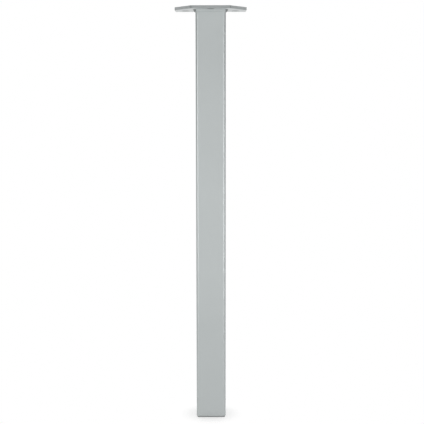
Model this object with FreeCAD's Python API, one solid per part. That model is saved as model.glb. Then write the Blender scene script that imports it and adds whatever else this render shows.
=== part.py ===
import FreeCAD, Part
import math
import os

from FreeCAD import Vector

# A square steel table leg: a tube welded under a screw-on plate, with a plastic plug in its lower end.
# Millimetres, +Z up. The origin is on the floor, on the axis of the tube. The front looks along -Y.

# Whole leg
leg_height = 700.0

# Square tube, rolled with rounded corners
tube_width = 50.0
tube_wall = 2.0
tube_inner_radius = 2.0

# Mounting plate: six sides, with the two front corners cut away from the axis line to the front edge
plate_width = 120.0
plate_thickness = 5.0
plate_front_reach = 60.0
plate_rear_reach = 60.0
plate_front_flat = 64.0
plate_corner_radius = 3.0
plate_edge_round = 0.35

# Countersunk screw holes on one circle round the axis, the first at the front
screw_count = 3
screw_circle_diameter = 96.0
screw_hole_diameter = 6.5
countersink_diameter = 12.5
countersink_angle = 90.0

# Fillet weld between the tube and the plate, a little full in its middle
weld_leg = 3.0
weld_fullness = 0.65
weld_toe = 0.3

# Plastic plug: a square flange under the tube, and a hollow insert with gripping fins inside it
flange_thickness = 2.5
flange_inset = 1.2
flange_corner_radius = 2.8
flange_edge_round = 0.8
insert_wall = 2.0
insert_inner_radius = 1.0
fin_count = 4
fin_pitch = 4.5
fin_thickness = 1.4
fin_reach = 2.6
fin_taper = 0.6
fin_clearance = 0.1

# Worked out from the sizes above
tube_outer_radius = tube_inner_radius + tube_wall
tube_bore = tube_width - 2 * tube_wall
tube_bottom = flange_thickness
plate_underside = leg_height - plate_thickness
flange_width = tube_width - 2 * flange_inset
fin_width = tube_bore - 2 * fin_clearance
fin_radius = tube_inner_radius
insert_width = fin_width - 2 * fin_reach
insert_outer_radius = insert_inner_radius + insert_wall
insert_height = fin_pitch * (fin_count + 1)


def square(width):
    """The four corners of a square centred on the axis."""
    half = width / 2
    return [(-half, -half), (half, -half), (half, half), (-half, half)]


def rounded_outline(corners, radius, height):
    """A closed wire at one height: straight sides joined by a tangent arc at every corner."""
    points = [Vector(x, y, height) for x, y in corners]
    arcs = []
    for index, corner in enumerate(points):
        to_last = (points[index - 1] - corner).normalize()
        to_next = (points[(index + 1) % len(points)] - corner).normalize()
        half_angle = to_last.getAngle(to_next) / 2
        tangent = radius / math.tan(half_angle)
        inward = (to_last + to_next).normalize()
        middle = corner + inward * (radius / math.sin(half_angle) - radius)
        arcs.append(Part.Arc(corner + to_last * tangent, middle, corner + to_next * tangent))
    edges = []
    for index, arc in enumerate(arcs):
        following = arcs[(index + 1) % len(arcs)]
        edges.append(arc.toShape())
        edges.append(Part.LineSegment(arc.EndPoint, following.StartPoint).toShape())
    return Part.Wire(edges)


def prism(corners, radius, bottom, top):
    """A straight solid with a rounded outline."""
    face = Part.Face(rounded_outline(corners, radius, bottom))
    return face.extrude(Vector(0, 0, top - bottom))


def edges_at(shape, height):
    """The edges of a shape that lie flat at one height."""
    flat = []
    for edge in shape.Edges:
        box = edge.BoundBox
        if abs(box.ZMin - height) < 1e-6 and abs(box.ZMax - height) < 1e-6:
            flat.append(edge)
    return flat


def make_leg_tube():
    """The square tube, from the flange of the plug up to the plate."""
    outside = prism(square(tube_width), tube_outer_radius, tube_bottom, plate_underside)
    inside = prism(square(tube_bore), tube_inner_radius, tube_bottom, plate_underside)
    return outside.cut(inside)


def make_mounting_plate():
    """The plate, with softened edges and its ring of screw holes countersunk from below."""
    half_width = plate_width / 2
    half_flat = plate_front_flat / 2
    corners = [
        (-half_flat, -plate_front_reach),
        (half_flat, -plate_front_reach),
        (half_width, 0),
        (half_width, plate_rear_reach),
        (-half_width, plate_rear_reach),
        (-half_width, 0),
    ]
    plate = prism(corners, plate_corner_radius, plate_underside, leg_height)
    rims = edges_at(plate, plate_underside) + edges_at(plate, leg_height)
    plate = plate.makeFillet(plate_edge_round, rims)
    hole_radius = screw_hole_diameter / 2
    sink_radius = countersink_diameter / 2
    sink_depth = (sink_radius - hole_radius) / math.tan(math.radians(countersink_angle / 2))
    for index in range(screw_count):
        angle = 2 * math.pi * index / screw_count - math.pi / 2
        x = screw_circle_diameter / 2 * math.cos(angle)
        y = screw_circle_diameter / 2 * math.sin(angle)
        place = Vector(x, y, plate_underside)
        plate = plate.cut(Part.makeCylinder(hole_radius, plate_thickness, place))
        plate = plate.cut(Part.makeCone(sink_radius, hole_radius, sink_depth, place))
    return plate


def make_weld_bead():
    """The weld all round the tube: wide on the plate, full in the middle, thin at its lower toe."""
    sections = []
    for spread, drop in ((weld_leg, 0), (weld_leg * weld_fullness, weld_leg / 2), (weld_toe, weld_leg)):
        outline = square(tube_width + 2 * spread)
        sections.append(rounded_outline(outline, tube_outer_radius + spread, plate_underside - drop))
    bead = Part.makeLoft(sections, True, True)
    return bead.cut(prism(square(tube_width), tube_outer_radius, plate_underside - weld_leg, plate_underside))


def make_foot_plug():
    """The moulded plug: flange, hollow insert and the fins that grip the bore of the tube."""
    flange = prism(square(flange_width), flange_corner_radius, 0, flange_thickness)
    flange = flange.makeFillet(flange_edge_round, edges_at(flange, 0))
    insert_top = tube_bottom + insert_height
    insert = prism(square(insert_width), insert_outer_radius, tube_bottom, insert_top)
    hollow_width = insert_width - 2 * insert_wall
    fins = []
    for index in range(fin_count):
        low = tube_bottom + fin_pitch * (index + 1) - fin_thickness / 2
        wide = rounded_outline(square(fin_width), fin_radius, low)
        narrow = rounded_outline(square(fin_width - 2 * fin_taper), fin_radius, low + fin_thickness)
        fins.append(Part.makeLoft([wide, narrow], True, True))
    plug = flange.fuse([insert] + fins)
    plug = plug.cut(prism(square(hollow_width), insert_inner_radius, tube_bottom, insert_top))
    return plug.removeSplitter()


pieces = {
    "leg_tube": make_leg_tube(),
    "mounting_plate": make_mounting_plate(),
    "weld_bead": make_weld_bead(),
    "foot_plug": make_foot_plug(),
}

os.makedirs("parts", exist_ok=True)
for name, shape in pieces.items():
    print(f"{name}: {len(shape.Solids)} solid, {shape.Volume / 1000:.2f} cm3, valid {shape.isValid()}")
    shape.exportStep(f"parts/{name}.step")
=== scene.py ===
# %% [markdown]
# A square steel table leg.
# The real leg is a length of square tube welded under a flat plate, which screws to the underside of a
# table top. Tube, plate and weld are powder coated together, and a moulded plug closes the lower end of
# the tube.
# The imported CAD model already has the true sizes, so this lesson adds what CAD leaves plain: the ripples
# of the weld, the coating, the plastic, the studio and the camera. All lengths are in metres.

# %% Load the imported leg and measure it
import math

import bpy
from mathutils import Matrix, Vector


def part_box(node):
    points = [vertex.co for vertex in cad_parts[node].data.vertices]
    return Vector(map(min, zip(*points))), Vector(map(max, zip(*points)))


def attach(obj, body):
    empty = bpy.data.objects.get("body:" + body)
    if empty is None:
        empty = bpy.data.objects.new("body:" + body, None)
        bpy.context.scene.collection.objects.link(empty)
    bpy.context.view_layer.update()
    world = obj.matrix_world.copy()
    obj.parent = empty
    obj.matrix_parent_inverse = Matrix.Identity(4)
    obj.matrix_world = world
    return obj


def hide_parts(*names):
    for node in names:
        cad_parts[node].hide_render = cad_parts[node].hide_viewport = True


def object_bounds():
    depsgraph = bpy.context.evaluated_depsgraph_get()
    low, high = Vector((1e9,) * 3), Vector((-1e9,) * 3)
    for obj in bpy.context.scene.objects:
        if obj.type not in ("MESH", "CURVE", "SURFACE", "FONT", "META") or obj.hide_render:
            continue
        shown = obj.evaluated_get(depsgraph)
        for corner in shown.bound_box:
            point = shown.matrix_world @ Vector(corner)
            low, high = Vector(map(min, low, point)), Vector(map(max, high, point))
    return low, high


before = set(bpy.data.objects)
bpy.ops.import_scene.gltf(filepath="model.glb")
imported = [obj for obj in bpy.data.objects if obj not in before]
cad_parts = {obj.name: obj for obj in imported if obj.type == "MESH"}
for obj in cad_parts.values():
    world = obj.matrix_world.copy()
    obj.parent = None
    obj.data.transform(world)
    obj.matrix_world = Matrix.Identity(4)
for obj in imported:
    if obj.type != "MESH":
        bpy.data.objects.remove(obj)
cad_low, cad_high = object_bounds()
tube_low, tube_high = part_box("leg_tube")
plate_low, plate_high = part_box("mounting_plate")
weld_low, weld_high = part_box("weld_bead")
tube_width = tube_high.x - tube_low.x
leg_height = cad_high.z - cad_low.z
print(f"leg {leg_height * 1000:.0f} mm tall, tube {tube_width * 1000:.0f} mm square")

# %% [markdown]
# The camera.
# The photograph was taken with a longish lens from a little below the plate, so the plate's underside
# shows as a thin strip and the tube narrows slightly towards the floor. Both facts fix the height and the
# tilt of the camera. Shift and depth of field stay off, so that the same camera also serves for views
# from other sides.

# %% Camera
photo_pixels = 424
focal_pixels = 1044.8
sensor_mm = 36.0
camera_distance = 1.768
camera_height = 0.606
camera_side = 0.0018
camera_tilt = math.radians(8.049)
camera_roll = math.radians(-0.077)

camera_data = bpy.data.cameras.new("photo_camera")
camera_data.sensor_width = sensor_mm
camera_data.lens = focal_pixels * sensor_mm / photo_pixels
camera = bpy.data.objects.new("photo_camera", camera_data)
bpy.context.scene.collection.objects.link(camera)
camera.location = (camera_side, -camera_distance, camera_height)
camera.rotation_mode = "ZYX"
camera.rotation_euler = (math.pi / 2 - camera_tilt, 0, camera_roll)
bpy.context.scene.camera = camera
bpy.context.scene.view_settings.view_transform = "Standard"
print(f"lens {camera_data.lens:.1f} mm")

# %% [markdown]
# Helpers for shader nodes.
# Every finish below is a small node tree. A few short helpers keep the cells readable: one starts an
# empty tree, one adds a node and fills in its sockets by name, and two work on the numbers that run
# through it.


# %% Node helpers
def new_material(name):
    """A material with an empty node tree and its output node."""
    material = bpy.data.materials.new(name)
    material.use_nodes = True
    material.node_tree.nodes.clear()
    output = material.node_tree.nodes.new("ShaderNodeOutputMaterial")
    return material, material.node_tree, output


def add_node(tree, kind, **sockets):
    """A node of one kind, with values for the sockets that are named (underscores stand for spaces)."""
    node = tree.nodes.new(kind)
    for name, value in sockets.items():
        node.inputs[name.replace("_", " ")].default_value = value
    return node


def calculate(tree, operation, first, second):
    """The output of a Math node; each side is a socket or a plain number."""
    node = tree.nodes.new("ShaderNodeMath")
    node.operation = operation
    for socket, value in zip(node.inputs, (first, second)):
        if isinstance(value, (int, float)):
            socket.default_value = value
        else:
            tree.links.new(value, socket)
    return node.outputs[0]


def smooth_range(tree, value, from_low, from_high, to_low, to_high):
    """A smooth step of a socket from one range of numbers to another."""
    node = tree.nodes.new("ShaderNodeMapRange")
    node.interpolation_type = "SMOOTHSTEP"
    numbers = {"From Min": from_low, "From Max": from_high, "To Min": to_low, "To Max": to_high}
    for name, number in numbers.items():
        node.inputs[name].default_value = number
    tree.links.new(value, node.inputs["Value"])
    return node.outputs["Result"]


print("node helpers ready")

# %% [markdown]
# The floor and the white surround.
# The photograph has a plain white ground. A lamp strong enough to bleach the floor would spoil the leg's
# own colour, so the floor and the world are made white to the eye with the Light Path node. Near the foot
# the floor still shows half of its real shading, which carries the shadow. The white is lifted there by
# what the lit paper falls short of it, so that only the shadow looks darker.
# In reflections the room is white in front and behind but dim at the sides. Photographers do the same with
# black boards: the dark sides draw a thin dark line down each edge of the tube and keep it apart from the
# white ground. The white wall behind is the wider one, so that the slanted edges of the plate don't turn
# black.


# %% White for the eye, another tone for reflections
def seen_brightness(tree, reflected, lighting):
    """1 for camera and see-through rays, one value for reflected rays, another for rays of soft light."""
    path = tree.nodes.new("ShaderNodeLightPath")
    direct = calculate(tree, "MAXIMUM", path.outputs["Is Camera Ray"], path.outputs["Is Transmission Ray"])
    mirror = calculate(tree, "MULTIPLY", path.outputs["Is Glossy Ray"], reflected)
    seen = calculate(tree, "MAXIMUM", direct, mirror)
    return calculate(tree, "MAXIMUM", seen, lighting)


side_tone = 0.05
print(f"the sides of the room show {side_tone} of white in reflections")

# %% Floor
floor_half = 30.0
floor_glow = 0.5
sweep_half = 0.30
sweep_end = 0.45
shadow_near = 0.03
shadow_far = 0.08
shadow_share = 0.5
paper_tone = 0.88
lit_paper = 0.72
shadow_lift = (1 - shadow_share * lit_paper) / (1 - shadow_share)

floor_material, tree, output = new_material("studio_floor")
place = tree.nodes.new("ShaderNodeTexCoord").outputs["Object"]
axes = tree.nodes.new("ShaderNodeSeparateXYZ")
tree.links.new(place, axes.inputs[0])
sideways = calculate(tree, "ABSOLUTE", axes.outputs["X"], 0)
sweep = smooth_range(tree, sideways, sweep_half, sweep_end, 1.0, side_tone)
measure = tree.nodes.new("ShaderNodeVectorMath")
measure.operation = "LENGTH"
tree.links.new(place, measure.inputs[0])
foot_distance = measure.outputs["Value"]
fade = smooth_range(tree, foot_distance, shadow_near, shadow_far, 1 - shadow_share, 1.0)
lift = smooth_range(tree, foot_distance, shadow_near, shadow_far, shadow_lift, 1.0)
whiteness = calculate(tree, "MULTIPLY", seen_brightness(tree, sweep, floor_glow), fade)
paper = add_node(tree, "ShaderNodeBsdfDiffuse", Color=(paper_tone, paper_tone, paper_tone, 1))
glow = add_node(tree, "ShaderNodeEmission", Color=(1, 1, 1, 1))
tree.links.new(lift, glow.inputs["Strength"])
ground = tree.nodes.new("ShaderNodeMixShader")
tree.links.new(whiteness, ground.inputs["Fac"])
tree.links.new(paper.outputs[0], ground.inputs[1])
tree.links.new(glow.outputs[0], ground.inputs[2])
tree.links.new(ground.outputs[0], output.inputs["Surface"])

floor_mesh = bpy.data.meshes.new("studio_floor")
corners = [(-floor_half, -floor_half, 0), (floor_half, -floor_half, 0), (floor_half, floor_half, 0),
           (-floor_half, floor_half, 0)]
floor_mesh.from_pydata(corners, [], [(0, 1, 2, 3)])
floor_mesh.materials.append(floor_material)
floor = bpy.data.objects.new("studio_floor", floor_mesh)
bpy.context.scene.collection.objects.link(floor)
print(f"floor {2 * floor_half:.0f} m wide, with the shadow kept {1000 * shadow_far:.0f} mm round the foot")

# %% World
room_light = 0.05
front_from = 0.55
front_to = 0.90
back_from = 0.30
back_to = 0.75

world = bpy.data.worlds.new("white_studio")
world.use_nodes = True
world_tree = world.node_tree
world_tree.nodes.clear()
direction = world_tree.nodes.new("ShaderNodeTexCoord").outputs["Generated"]
compass = world_tree.nodes.new("ShaderNodeSeparateXYZ")
world_tree.links.new(direction, compass.inputs[0])
backwards = compass.outputs["Y"]
forwards = calculate(world_tree, "MULTIPLY", backwards, -1)
front_wall = smooth_range(world_tree, forwards, front_from, front_to, side_tone, 1.0)
back_wall = smooth_range(world_tree, backwards, back_from, back_to, side_tone, 1.0)
walls = calculate(world_tree, "MAXIMUM", front_wall, back_wall)
sky = add_node(world_tree, "ShaderNodeBackground", Color=(1, 1, 1, 1))
world_tree.links.new(seen_brightness(world_tree, walls, room_light), sky.inputs["Strength"])
world_output = world_tree.nodes.new("ShaderNodeOutputWorld")
world_tree.links.new(sky.outputs[0], world_output.inputs["Surface"])
bpy.context.scene.world = world
print(f"white walls in front and behind, dim ones at the sides, room light {room_light}")

# %% [markdown]
# The lamps.
# The tube's face is evenly lit and a little brighter half way up: two small softboxes stand low in front
# for that. A light line runs down each rounded corner, just inside its dark edge. A corner bends the room
# into a narrow picture of itself, so a tall lamp on each side, not far round from the camera, shows there
# as a line. The lamp is broad and not too bright, because a flat face that happens to mirror it in
# another view would glare.
# In low views from behind, the plate's flat underside would mirror these tall lamps and burn out to
# white. In a studio a black card keeps their light off the plate, and here light linking does.
# A very soft light from above, leaning in from behind, brightens the top of the plate and the back of the
# leg.


# %% Softboxes
def softbox(name, azimuth, height, distance, size, power):
    """A lamp that stands round the leg at an angle from the camera and looks at the leg's axis."""
    data = bpy.data.lights.new(name, "AREA")
    data.shape = "RECTANGLE"
    data.size, data.size_y = size
    data.energy = power
    lamp = bpy.data.objects.new(name, data)
    bpy.context.scene.collection.objects.link(lamp)
    angle = math.radians(azimuth)
    lamp.location = (distance * math.sin(angle), -distance * math.cos(angle), height)
    lamp.rotation_euler = (math.pi / 2, 0, angle)
    lamp.visible_camera = False
    return lamp


lamp_distance = 1.5
front_azimuth = 24
front_height = 0.09
front_size = (0.5, 0.24)
front_power = 1.1
strip_azimuth = 28
strip_height = 0.36
strip_size = (0.5, 0.75)
strip_power = 3.9

plate_shade = bpy.data.collections.new("plate_shade")
plate_shade.objects.link(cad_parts["mounting_plate"])
plate_shade.collection_objects[0].light_linking.link_state = "EXCLUDE"
for side, sign in (("left", -1), ("right", 1)):
    softbox(f"{side}_softbox", sign * front_azimuth, front_height, lamp_distance, front_size, front_power)
    strip = softbox(f"{side}_strip", sign * strip_azimuth, strip_height, lamp_distance, strip_size,
                    strip_power)
    strip.light_linking.receiver_collection = plate_shade
print(f"four softboxes at {lamp_distance} m, two of them kept off the plate")

# %% Light from above
top_strength = 2.2
top_spread = math.radians(100)
top_lean = math.radians(25)

top_data = bpy.data.lights.new("top_light", "SUN")
top_data.energy = top_strength
top_data.angle = top_spread
top_light = bpy.data.objects.new("top_light", top_data)
bpy.context.scene.collection.objects.link(top_light)
top_light.rotation_euler.x = -top_lean
print(f"a soft light from above, spread over {math.degrees(top_spread):.0f} degrees")

# %% [markdown]
# The powder coat.
# Silver-grey powder is sprayed dry and melted in an oven. It leaves a satin skin with a faint orange-peel
# relief and very fine flakes. Noise textures on Object coordinates give both at their real scale, so they
# stay put on the metal from any side. Nothing here depends on the camera.
# Shade is painted into the coat's colour in the countersinks, along the weld on the tube's left and right
# sides and round the corners of the weld, and the coat is made duller there. These painted spots beside
# the weld show from far away. The cut edge of the plate gets a little painted shade as well. A mask made
# from the distance to each hole, to the sides of the tube and to the faces of the plate says where all
# these places are.


# %% Where shade is painted on the coat
# Sizes and shares of the painted shade in the holes, beside the weld and on the plate's edge.
hole_circle = 0.096
hole_count = 3
sink_radius = 0.00625
sink_blur = 0.02
side_from = -0.0015
side_to = 0.0030
side_blur = 0.0014
side_shade_share = 0.65
corner_from = 0.0020
corner_to = 0.0055
rim_margin = 0.0003
rim_shade_share = 0.06


def flat_distance(tree, x, y):
    """How far a point lies from an upright axis, from its two sideways offsets."""
    squares = calculate(tree, "ADD", calculate(tree, "MULTIPLY", x, x), calculate(tree, "MULTIPLY", y, y))
    return calculate(tree, "SQRT", squares, 0)


def between(tree, value, low, high):
    """1 where a socket lies between two numbers, 0 elsewhere."""
    above = calculate(tree, "GREATER_THAN", value, low)
    return calculate(tree, "MULTIPLY", above, calculate(tree, "LESS_THAN", value, high))


def painted_hole_shade(tree, x, y, z):
    """1 on the walls of the screw holes, where shade is painted, 0 elsewhere."""
    inner = (1 - sink_blur) * sink_radius
    outer = (1 + sink_blur) * sink_radius
    inside = 0
    for index in range(hole_count):
        angle = math.tau * index / hole_count - math.pi / 2
        off_x = calculate(tree, "SUBTRACT", x, hole_circle / 2 * math.cos(angle))
        off_y = calculate(tree, "SUBTRACT", y, hole_circle / 2 * math.sin(angle))
        hole = smooth_range(tree, flat_distance(tree, off_x, off_y), inner, outer, 1.0, 0.0)
        inside = calculate(tree, "MAXIMUM", hole, inside)
    return calculate(tree, "MULTIPLY", inside, between(tree, z, plate_low.z, plate_high.z - rim_margin))


def painted_weld_shade(tree, x, y, z, waver):
    """A share of painted shade on the weld's two side runs, its corners and the plate beside them, 0
    elsewhere.
    """
    half = tube_width / 2
    outward = calculate(tree, "SUBTRACT", calculate(tree, "ABSOLUTE", x, 0), half)
    spread = calculate(tree, "ADD", outward, waver)
    starts = smooth_range(tree, spread, side_from, side_from + side_blur, 0.0, side_shade_share)
    ends = smooth_range(tree, spread, side_to, side_to + side_blur, 1.0, 0.0)
    along = calculate(tree, "ABSOLUTE", y, 0)
    run = smooth_range(tree, along, half + corner_from, half + corner_to, 1.0, 0.0)
    band = calculate(tree, "MULTIPLY", calculate(tree, "MULTIPLY", starts, ends), run)
    return calculate(tree, "MULTIPLY", band, between(tree, z, weld_low.z, plate_low.z + rim_margin))


def painted_rim_shade(tree, z):
    """A share of painted shade on the cut edge all round the plate, 0 elsewhere."""
    rim = between(tree, z, plate_low.z + rim_margin, plate_high.z - rim_margin)
    return calculate(tree, "MULTIPLY", rim, rim_shade_share)


print(f"thin coat in {hole_count} holes and {1000 * side_to:.1f} mm out from the tube on two sides")


# %% Helpers for finishes
def new_finish(name, **sockets):
    """A material with one shader whose named sockets are set, and the Object coordinates of the piece."""
    material, tree, output = new_material(name)
    shader = add_node(tree, "ShaderNodeBsdfPrincipled", **sockets)
    tree.links.new(shader.outputs[0], output.inputs["Surface"])
    place = tree.nodes.new("ShaderNodeTexCoord").outputs["Object"]
    return material, tree, shader, place


def noise(tree, place, scale, detail, roughness):
    """The values of a noise texture, most of them in the middle between 0 and 1."""
    texture = add_node(tree, "ShaderNodeTexNoise", Scale=scale, Detail=detail, Roughness=roughness)
    tree.links.new(place, texture.inputs["Vector"])
    return texture.outputs["Fac"]


def two_tones(tree, value, low, high, dark, light):
    """A colour that goes from dark to light while a socket goes from low to high."""
    ramp = tree.nodes.new("ShaderNodeValToRGB")
    for element, position, tone in zip(ramp.color_ramp.elements, (low, high), (dark, light)):
        element.position = position
        element.color = tone
    tree.links.new(value, ramp.inputs["Fac"])
    return ramp.outputs["Color"]


def even_range(tree, value, low, high):
    """A socket between 0 and 1, spread evenly from low to high."""
    node = add_node(tree, "ShaderNodeMapRange", To_Min=low, To_Max=high)
    tree.links.new(value, node.inputs["Value"])
    return node.outputs["Result"]


def add_relief(tree, shader, height, strength, depth):
    """Fine bumps on a shader, as high as a socket says."""
    relief = add_node(tree, "ShaderNodeBump", Strength=strength, Distance=depth)
    tree.links.new(height, relief.inputs["Height"])
    tree.links.new(relief.outputs["Normal"], shader.inputs["Normal"])


def dress(node, material):
    """One material on the mesh of a CAD node."""
    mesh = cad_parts[node].data
    mesh.materials.clear()
    mesh.materials.append(material)


print("finish helpers ready")

# %% Powder coat material
coat_metal = 0.42
coat_ior = 1.5
coat_dark = (0.445, 0.475, 0.475, 1)
coat_light = (0.500, 0.530, 0.530, 1)
coat_rough_low = 0.29
coat_rough_high = 0.35
flake_scale = 2600.0
drift_scale = 9.0
drift_share = 0.35
peel_scale = 700.0
peel_strength = 0.25
peel_depth = 0.00004
patch_scale = 220.0
side_waver = 0.0003
noise_low = 0.30
noise_high = 0.70
painted_shade_loss = 0.82
shade_rough = 0.5


def painted_shade_mask(tree, place):
    """Where shade is painted: 1 in the holes, a share along the weld and on the edge of the plate."""
    axes = tree.nodes.new("ShaderNodeSeparateXYZ")
    tree.links.new(place, axes.inputs[0])
    x, y, z = axes.outputs
    patches = noise(tree, place, patch_scale, detail=1.0, roughness=0.5)
    waver = smooth_range(tree, patches, noise_low, noise_high, -side_waver, side_waver)
    painted_shade = calculate(tree, "MAXIMUM", painted_hole_shade(tree, x, y, z), painted_weld_shade(tree, x, y, z, waver))
    return calculate(tree, "MAXIMUM", painted_shade, painted_rim_shade(tree, z))


def make_powder_coat():
    """Satin silver-grey coat with fine flakes, orange-peel relief, a slow drift of tone and duller painted
    shade.
    """
    material, tree, shader, place = new_finish("powder_coat", Metallic=coat_metal, IOR=coat_ior)
    flakes = noise(tree, place, flake_scale, detail=2.0, roughness=0.6)
    drift = noise(tree, place, drift_scale, detail=2.0, roughness=0.5)
    peel = noise(tree, place, peel_scale, detail=3.0, roughness=0.55)
    painted_shade = painted_shade_mask(tree, place)

    tone = tree.nodes.new("ShaderNodeMix")
    tone.data_type = "FLOAT"
    tone.inputs["Factor"].default_value = drift_share
    tree.links.new(flakes, tone.inputs["A"])
    tree.links.new(drift, tone.inputs["B"])
    colour = two_tones(tree, tone.outputs["Result"], noise_low, noise_high, coat_dark, coat_light)
    # Shade is painted here: the mask darkens the coat's colour in the holes, beside the weld and on the
    # rim.
    shaded_colour = tree.nodes.new("ShaderNodeHueSaturation")
    kept = calculate(tree, "SUBTRACT", 1, calculate(tree, "MULTIPLY", painted_shade, painted_shade_loss))
    tree.links.new(kept, shaded_colour.inputs["Value"])
    tree.links.new(colour, shaded_colour.inputs["Color"])
    tree.links.new(shaded_colour.outputs["Color"], shader.inputs["Base Color"])

    satin = even_range(tree, flakes, coat_rough_low, coat_rough_high)
    dull = calculate(tree, "MULTIPLY", painted_shade, shade_rough)
    tree.links.new(calculate(tree, "ADD", satin, dull), shader.inputs["Roughness"])
    add_relief(tree, shader, peel, peel_strength, peel_depth)
    return material


powder_coat = make_powder_coat()
for node in ("leg_tube", "mounting_plate", "weld_bead"):
    dress(node, powder_coat)
print(f"powder coat with {len(powder_coat.node_tree.nodes)} nodes on the tube, the plate and the weld")

# %% [markdown]
# The weld.
# A welder joins the tube to the plate with one bead all the way round. The pool of metal freezes in small
# steps, and each step leaves a curved ripple. A plain sweep of a triangle would look machined, and
# modelling every ripple by hand would take hours.
# Geometry Nodes follow the path instead: the tube's outline becomes a curve, a small bead section is swept
# along it, and the place along the curve says where each ripple lies. The coating fills the ripples, so
# they stay shallow.


# %% Helpers for node groups
def new_group(name, sizes):
    """An empty geometry node group with a named number for each size, a material and a geometry output."""
    group = bpy.data.node_groups.new(name, "GeometryNodeTree")
    group.interface.new_socket("Geometry", in_out="OUTPUT", socket_type="NodeSocketGeometry")
    for size in sizes:
        group.interface.new_socket(size, in_out="INPUT", socket_type="NodeSocketFloat")
    group.interface.new_socket("Material", in_out="INPUT", socket_type="NodeSocketMaterial")
    return group, group.nodes.new("NodeGroupInput").outputs, group.nodes.new("NodeGroupOutput").inputs


def mark_points(group, geometry, name, value):
    """Keep a number on every point under a name, so that a later node can read it."""
    node = group.nodes.new("GeometryNodeStoreNamedAttribute")
    node.inputs["Name"].default_value = name
    group.links.new(geometry, node.inputs["Geometry"])
    group.links.new(value, node.inputs["Value"])
    return node.outputs["Geometry"]


def read_mark(group, name):
    """The number that was kept under a name."""
    node = group.nodes.new("GeometryNodeInputNamedAttribute")
    node.inputs["Name"].default_value = name
    return node.outputs["Attribute"]


def bake_group(name, group, values):
    """Run a node group once with its inputs set, and keep the result as a plain mesh object."""
    host = bpy.data.objects.new(name, bpy.data.meshes.new(f"{name}_empty"))
    bpy.context.scene.collection.objects.link(host)
    modifier = host.modifiers.new(name, "NODES")
    modifier.node_group = group
    for item in group.interface.items_tree:
        if item.in_out == "INPUT":
            modifier[item.identifier] = values[item.name]
    evaluated = host.evaluated_get(bpy.context.evaluated_depsgraph_get())
    mesh = bpy.data.meshes.new_from_object(evaluated)
    host.modifiers.remove(modifier)
    host.data = mesh
    return host


print("node group helpers ready")

# %% The path and the section of the bead
corner_points = 12
section_points = 12


def bead_path(group, given):
    """The outline of the tube as a closed curve of short even steps, marked with the place along it."""
    outline = group.nodes.new("GeometryNodeCurvePrimitiveQuadrilateral")
    rounded = group.nodes.new("GeometryNodeFilletCurve")
    rounded.mode = "POLY"
    rounded.inputs["Count"].default_value = corner_points
    even = group.nodes.new("GeometryNodeResampleCurve")
    even.mode = "LENGTH"
    place = group.nodes.new("GeometryNodeSplineParameter")
    group.links.new(given["Tube Width"], outline.inputs["Width"])
    group.links.new(given["Tube Width"], outline.inputs["Height"])
    group.links.new(outline.outputs["Curve"], rounded.inputs["Curve"])
    group.links.new(given["Corner Radius"], rounded.inputs["Radius"])
    group.links.new(rounded.outputs["Curve"], even.inputs["Curve"])
    group.links.new(given["Step"], even.inputs["Length"])
    return mark_points(group, even.outputs["Curve"], "along", place.outputs["Factor"])


def bead_section(group, given):
    """A closed section: point 0 in the root of the joint, the others on a full arc from plate to tube."""
    ring = group.nodes.new("GeometryNodeCurvePrimitiveCircle")
    ring.inputs["Resolution"].default_value = section_points
    index = group.nodes.new("GeometryNodeInputIndex").outputs["Index"]
    on_face = calculate(group, "GREATER_THAN", index, 0.5)
    across = calculate(group, "DIVIDE", calculate(group, "SUBTRACT", index, 1), section_points - 2)
    rest = calculate(group, "SUBTRACT", 1, across)
    crown = calculate(group, "MULTIPLY", calculate(group, "MULTIPLY", across, rest), on_face)
    hump = calculate(group, "MULTIPLY", crown, given["Bulge"])
    outward = calculate(group, "ADD", calculate(group, "MULTIPLY", rest, given["Bead Leg"]), hump)
    down = calculate(group, "ADD", calculate(group, "MULTIPLY", across, given["Bead Leg"]), hump)
    corner = group.nodes.new("ShaderNodeCombineXYZ")
    group.links.new(calculate(group, "MULTIPLY", outward, on_face), corner.inputs["X"])
    group.links.new(calculate(group, "MULTIPLY", down, on_face), corner.inputs["Y"])
    shaped = group.nodes.new("GeometryNodeSetPosition")
    marked = mark_points(group, ring.outputs["Curve"], "crown", crown)
    marked = mark_points(group, marked, "across", across)
    group.links.new(marked, shaped.inputs["Geometry"])
    group.links.new(corner.outputs[0], shaped.inputs["Position"])
    return shaped.outputs["Geometry"]


print(f"a section of {section_points} points, swept along the tube's outline")

# %% The weld's node group
wander_scale = 260.0
middle = 0.5


def ripple_height(group, given):
    """How far each point of the bead is raised: bowed ripples and a slow wander, most on the crown."""
    off_centre = calculate(group, "SUBTRACT", read_mark(group, "across"), middle)
    off_square = calculate(group, "MULTIPLY", off_centre, off_centre)
    bow = calculate(group, "MULTIPLY", off_square, given["Ripple Bow"])
    count = calculate(group, "MULTIPLY", read_mark(group, "along"), given["Ripples"])
    step = calculate(group, "FRACT", calculate(group, "ADD", count, bow), 0)
    scallop = calculate(group, "MULTIPLY", step, calculate(group, "SUBTRACT", 1, step))
    ripple = calculate(group, "MULTIPLY", scallop, given["Ripple Height"])
    wander = group.nodes.new("ShaderNodeTexNoise")
    wander.noise_dimensions = "4D"
    wander.inputs["Scale"].default_value = wander_scale
    group.links.new(given["Seed"], wander.inputs["W"])
    drift = calculate(group, "SUBTRACT", wander.outputs[0], middle)
    uneven = calculate(group, "MULTIPLY", drift, given["Unevenness"])
    return calculate(group, "MULTIPLY", calculate(group, "ADD", ripple, uneven), read_mark(group, "crown"))


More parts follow.
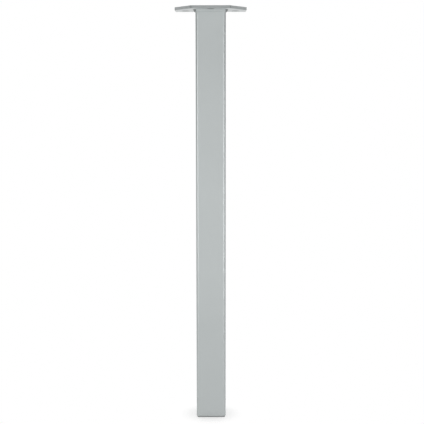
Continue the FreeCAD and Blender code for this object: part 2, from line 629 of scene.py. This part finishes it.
def make_weld_group():
    """A bead swept along the tube's outline, raised in bowed ripples, and set under the plate."""
    sizes = ("Tube Width", "Corner Radius", "Bead Leg", "Bulge", "Step", "Ripples", "Ripple Height",
             "Ripple Bow", "Unevenness", "Seed", "Plate Underside")
    group, given, result = new_group("weld_ripples", sizes)
    sweep = group.nodes.new("GeometryNodeCurveToMesh")
    group.links.new(bead_path(group, given), sweep.inputs["Curve"])
    group.links.new(bead_section(group, given), sweep.inputs["Profile Curve"])

    normal = group.nodes.new("GeometryNodeInputNormal")
    raised = group.nodes.new("ShaderNodeVectorMath")
    raised.operation = "SCALE"
    group.links.new(normal.outputs["Normal"], raised.inputs[0])
    group.links.new(ripple_height(group, given), raised.inputs["Scale"])
    rippled = group.nodes.new("GeometryNodeSetPosition")
    group.links.new(sweep.outputs["Mesh"], rippled.inputs["Geometry"])
    group.links.new(raised.outputs[0], rippled.inputs["Offset"])

    height = group.nodes.new("ShaderNodeCombineXYZ")
    group.links.new(given["Plate Underside"], height.inputs["Z"])
    seated = group.nodes.new("GeometryNodeTransform")
    group.links.new(rippled.outputs["Geometry"], seated.inputs["Geometry"])
    group.links.new(height.outputs[0], seated.inputs["Translation"])
    smooth = group.nodes.new("GeometryNodeSetShadeSmooth")
    real = group.nodes.new("GeometryNodeRealizeInstances")
    coated = group.nodes.new("GeometryNodeSetMaterial")
    group.links.new(seated.outputs["Geometry"], smooth.inputs["Geometry"])
    group.links.new(smooth.outputs["Geometry"], real.inputs["Geometry"])
    group.links.new(real.outputs["Geometry"], coated.inputs["Geometry"])
    group.links.new(given["Material"], coated.inputs["Material"])
    group.links.new(coated.outputs["Geometry"], result["Geometry"])
    return group


weld_group = make_weld_group()
print(f"weld group with {len(weld_group.nodes)} nodes")

# %% Bake the weld and set it in place of the plain bead
# Crown and scallop both peak at a quarter, so the bulge, the ripples and the unevenness that show are much
# smaller than the numbers that set them: the ripples stand 0.2 mm high.
tube_corner = 0.004
bead_leg = weld_high.z - weld_low.z
bead_run = 4 * (tube_width - 2 * tube_corner) + 2 * math.pi * tube_corner
bulge_share = 0.5
ripple_pitch = 0.0016
step_share = 0.16
weld_sizes = {
    "Tube Width": tube_width,
    "Corner Radius": tube_corner,
    "Bead Leg": bead_leg,
    "Bulge": bulge_share * bead_leg,
    "Step": step_share * ripple_pitch,
    "Ripples": round(bead_run / ripple_pitch),
    "Ripple Height": 0.0032,
    "Ripple Bow": 2.2,
    "Unevenness": 0.0016,
    "Seed": 7.0,
    "Plate Underside": plate_low.z,
    "Material": powder_coat,
}
weld = bake_group("rippled_weld", weld_group, weld_sizes)
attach(weld, "root")
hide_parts("weld_bead")
weld_reach = [round(1000 * max(abs(v.co[axis]) for v in weld.data.vertices), 2) for axis in range(2)]
weld_heights = [v.co.z * 1000 for v in weld.data.vertices]
print(f"weld: {len(weld.data.polygons)} faces, reach {weld_reach} mm, from z {min(weld_heights):.2f} to "
      f"{max(weld_heights):.2f} mm")

# %% [markdown]
# The plug's plastic.
# The plug is moulded from a tough, slightly waxy grey plastic. Its tool is spark-eroded to a fine matt
# grain, which a small noise in the relief and in the roughness gives.

# %% Plug plastic material
plastic_ior = 1.49
plastic_dark = (0.225, 0.235, 0.235, 1)
plastic_light = (0.260, 0.270, 0.270, 1)
plastic_rough_low = 0.50
plastic_rough_high = 0.65
cloud_scale = 60.0
cloud_low = 0.35
cloud_high = 0.65
grain_scale = 2200.0
grain_strength = 0.3
grain_depth = 0.00003


def make_glide_plastic():
    """Matt mid-grey moulded plastic with a fine grain."""
    material, tree, shader, place = new_finish("glide_plastic", IOR=plastic_ior)
    grain = noise(tree, place, grain_scale, detail=2.0, roughness=0.6)
    cloud = noise(tree, place, cloud_scale, detail=2.0, roughness=0.5)
    colour = two_tones(tree, cloud, cloud_low, cloud_high, plastic_dark, plastic_light)
    tree.links.new(colour, shader.inputs["Base Color"])
    matt = even_range(tree, grain, plastic_rough_low, plastic_rough_high)
    tree.links.new(matt, shader.inputs["Roughness"])
    add_relief(tree, shader, grain, grain_strength, grain_depth)
    return material


glide_plastic = make_glide_plastic()
dress("foot_plug", glide_plastic)
print(f"plastic with {len(glide_plastic.node_tree.nodes)} nodes on the plug")
